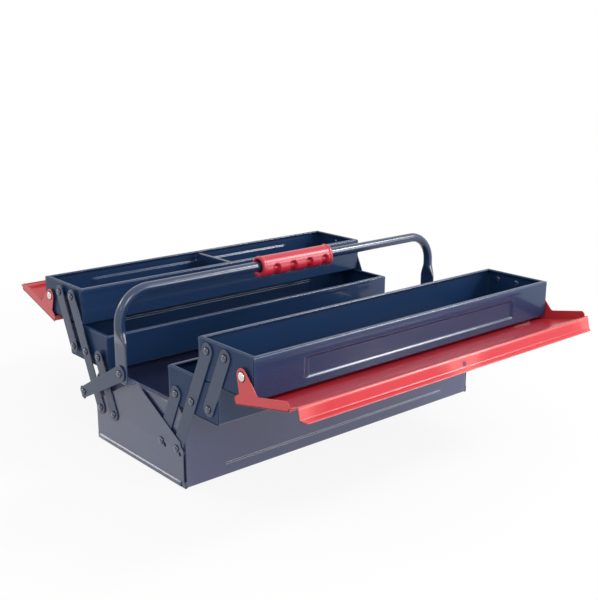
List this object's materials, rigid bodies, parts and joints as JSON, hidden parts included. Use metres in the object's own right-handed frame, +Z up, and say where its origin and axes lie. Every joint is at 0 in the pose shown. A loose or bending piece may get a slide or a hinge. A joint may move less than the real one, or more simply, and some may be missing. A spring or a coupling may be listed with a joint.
{
  "type": "cantilever tool box",
  "caption": "Sheet steel tool box with trays on parallel arms that fold out from a base to both sides, hinged lids and a carrying handle on links.",
  "frame": {"origin": "centre of the base's underside", "axes": "+Z up, +X along the box, +Y towards the rear trays, the front trays are at -Y"},
  "size_m": [0.5452, 0.6125, 0.2315],
  "materials": {
    "navy_base": "navy enamel, satin, fine orange-peel",
    "navy_tray": "dark navy enamel, satin, fine orange-peel",
    "navy_arm": "navy enamel, satin",
    "navy_rivet": "navy enamel over rivet heads, glossy",
    "navy_handle": "navy enamel, glossy",
    "red_enamel": "red enamel, satin",
    "red_plastic": "moulded red plastic, soft gloss",
    "nickel": "bright nickel-plated rivet"
  },
  "bodies": {
    "base": {"base_trough": "navy_base", "base_end_left": "navy_base", "base_end_right": "navy_base", "cover_left": "navy_base", "cover_right": "navy_base", "base_rivets_left": "navy_rivet", "base_rivets_right": "navy_rivet"},
    "rear_long_arms": {"rear_long_arm_left": "navy_arm", "rear_long_arm_right": "navy_arm", "rear_link_stud": "navy_rivet"},
    "rear_low_arms": {"rear_low_arm_left": "navy_arm", "rear_low_arm_right": "navy_arm"},
    "rear_high_arms": {"rear_high_arm_left": "navy_arm", "rear_high_arm_right": "navy_arm"},
    "rear_mid_tray": {"rear_mid_shell": "navy_tray", "rear_mid_end_left": "navy_tray", "rear_mid_end_right": "navy_tray", "rear_mid_rivets_left": "navy_rivet", "rear_mid_rivets_right": "navy_rivet"},
    "rear_top_tray": {"rear_top_shell": "navy_tray", "rear_top_end_left": "navy_tray", "rear_top_end_right": "navy_tray", "rear_top_rivets_left": "navy_rivet", "rear_top_rivets_right": "navy_rivet", "rear_lid_rivets": "nickel", "rear_divider": "navy_tray"},
    "rear_lid": {"rear_lid": "red_enamel"},
    "front_long_arms": {"front_long_arm_left": "navy_arm", "front_long_arm_right": "navy_arm", "front_link_stud": "navy_rivet"},
    "front_low_arms": {"front_low_arm_left": "navy_arm", "front_low_arm_right": "navy_arm"},
    "front_high_arms": {"front_high_arm_left": "navy_arm", "front_high_arm_right": "navy_arm"},
    "front_mid_tray": {"front_mid_shell": "navy_tray", "front_mid_end_left": "navy_tray", "front_mid_end_right": "navy_tray", "front_mid_rivets_left": "navy_rivet", "front_mid_rivets_right": "navy_rivet"},
    "front_top_tray": {"front_top_shell": "navy_tray", "front_top_end_left": "navy_tray", "front_top_end_right": "navy_tray", "front_top_rivets_left": "navy_rivet", "front_top_rivets_right": "navy_rivet", "front_lid_rivets": "nickel"},
    "front_lid": {"front_lid": "red_enamel"},
    "handle": {"handle_bar": "navy_handle", "handle_side_left": "navy_handle", "handle_side_right": "navy_handle", "handle_grip": "red_plastic", "handle_rivets": "navy_rivet"},
    "rear_link": {"link_left": "navy_arm", "link_cap_left": "navy_rivet"},
    "front_link": {"link_right": "navy_arm", "link_cap_right": "navy_rivet"}
  },
  "joints": [
    {"name": "rear_fold", "type": "hinge", "parent": "base", "child": "rear_long_arms", "pos_m": [0, 0.0856, 0.0465], "axis": [1, 0, 0], "range_deg": [0, 51]},
    {"name": "rear_mid_tray", "type": "hinge", "parent": "rear_long_arms", "child": "rear_mid_tray", "pos_m": [0, 0.11746, 0.11329], "axis": [1, 0, 0], "range_deg": [-51, 0]},
    {"name": "rear_top_tray", "type": "hinge", "parent": "rear_long_arms", "child": "rear_top_tray", "pos_m": [0, 0.14932, 0.18008], "axis": [1, 0, 0], "range_deg": [-51, 0]},
    {"name": "rear_low_arms", "type": "hinge", "parent": "base", "child": "rear_low_arms", "pos_m": [0, 0.0536, 0.0465], "axis": [1, 0, 0], "range_deg": [0, 51]},
    {"name": "rear_high_arms", "type": "hinge", "parent": "rear_mid_tray", "child": "rear_high_arms", "pos_m": [0, 0.14946, 0.11329], "axis": [1, 0, 0], "range_deg": [0, 51]},
    {"name": "rear_lid", "type": "hinge", "parent": "rear_top_tray", "child": "rear_lid", "pos_m": [0, 0.21282, 0.16848], "axis": [1, 0, 0], "range_deg": [0, 163.7]},
    {"name": "front_fold", "type": "hinge", "parent": "base", "child": "front_long_arms", "pos_m": [0, -0.0856, 0.0465], "axis": [1, 0, 0], "range_deg": [-51, 0]},
    {"name": "front_mid_tray", "type": "hinge", "parent": "front_long_arms", "child": "front_mid_tray", "pos_m": [0, -0.11746, 0.11329], "axis": [1, 0, 0], "range_deg": [0, 51]},
    {"name": "front_top_tray", "type": "hinge", "parent": "front_long_arms", "child": "front_top_tray", "pos_m": [0, -0.14932, 0.18008], "axis": [1, 0, 0], "range_deg": [0, 51]},
    {"name": "front_low_arms", "type": "hinge", "parent": "base", "child": "front_low_arms", "pos_m": [0, -0.0536, 0.0465], "axis": [1, 0, 0], "range_deg": [-51, 0]},
    {"name": "front_high_arms", "type": "hinge", "parent": "front_mid_tray", "child": "front_high_arms", "pos_m": [0, -0.14946, 0.11329], "axis": [1, 0, 0], "range_deg": [-51, 0]},
    {"name": "front_lid", "type": "hinge", "parent": "front_top_tray", "child": "front_lid", "pos_m": [0, -0.21282, 0.16848], "axis": [1, 0, 0], "range_deg": [-168.6, 0]},
    {"name": "rear_link", "type": "hinge", "parent": "rear_long_arms", "child": "rear_link", "pos_m": [0, 0.0921, 0.0705], "axis": [1, 0, 0], "range_deg": [-70.19, 0]},
    {"name": "front_link", "type": "hinge", "parent": "front_long_arms", "child": "front_link", "pos_m": [0, -0.0921, 0.0705], "axis": [1, 0, 0], "range_deg": [0, 70.19]},
    {"name": "handle_lift", "type": "slide", "parent": "base", "child": "handle", "axis": [0, 0, 1], "range_m": [0, 0.02373]}
  ],
  "couplings": [
    {"joint": "rear_mid_tray", "follows": "rear_fold", "ratio": -1},
    {"joint": "rear_top_tray", "follows": "rear_fold", "ratio": -1},
    {"joint": "rear_low_arms", "follows": "rear_fold", "ratio": 1},
    {"joint": "rear_high_arms", "follows": "rear_fold", "ratio": 1},
    {"joint": "rear_lid", "follows": "rear_fold", "ratio": 3.2098},
    {"joint": "front_fold", "follows": "rear_fold", "ratio": -1},
    {"joint": "front_mid_tray", "follows": "rear_fold", "ratio": 1},
    {"joint": "front_top_tray", "follows": "rear_fold", "ratio": 1},
    {"joint": "front_low_arms", "follows": "rear_fold", "ratio": -1},
    {"joint": "front_high_arms", "follows": "rear_fold", "ratio": -1},
    {"joint": "front_lid", "follows": "rear_fold", "ratio": -3.3059},
    {"joint": "rear_link", "follows": "rear_fold", "ratio": -1.3763},
    {"joint": "front_link", "follows": "rear_fold", "ratio": 1.3763},
    {"joint": "handle_lift", "follows": "rear_fold", "m_per_rad": 0.026663}
  ]
}
